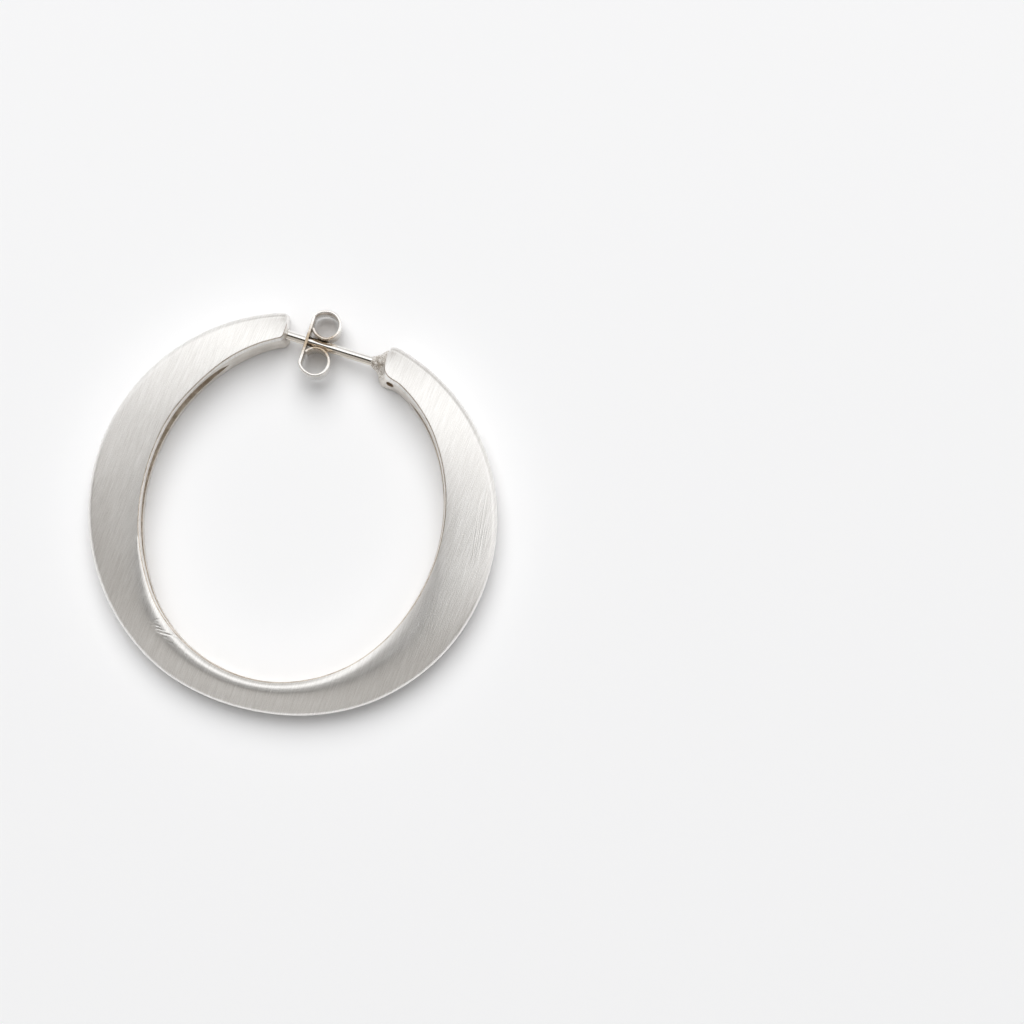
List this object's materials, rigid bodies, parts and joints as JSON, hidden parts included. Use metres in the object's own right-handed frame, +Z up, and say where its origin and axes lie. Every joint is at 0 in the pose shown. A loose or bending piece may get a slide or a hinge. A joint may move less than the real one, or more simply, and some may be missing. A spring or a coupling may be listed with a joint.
{
  "type": "hoop earring",
  "caption": "Brushed silver hoop earring, a hollow band that swells at both sides, closed by a soldered post with a butterfly nut.",
  "frame": {"origin": "centre of the hoop, on the surface that it lies on", "axes": "+Z up out of the hoop's face, +X across the hoop, +Y from the hoop's narrow bottom towards its opening"},
  "size_m": [0.038, 0.0376, 0.0038],
  "materials": {
    "brushed_silver": "satin",
    "polished_silver": "polished"
  },
  "bodies": {
    "hoop_body": {"hoop": "brushed_silver"},
    "nut_body": {"scroll_nut": "polished_silver"}
  },
  "joints": [
    {"name": "nut_slide", "type": "slide", "parent": "hoop_body", "child": "nut_body", "axis": [0.955, -0.2967, 0], "range_m": [-0.0012, 0.0034]}
  ]
}
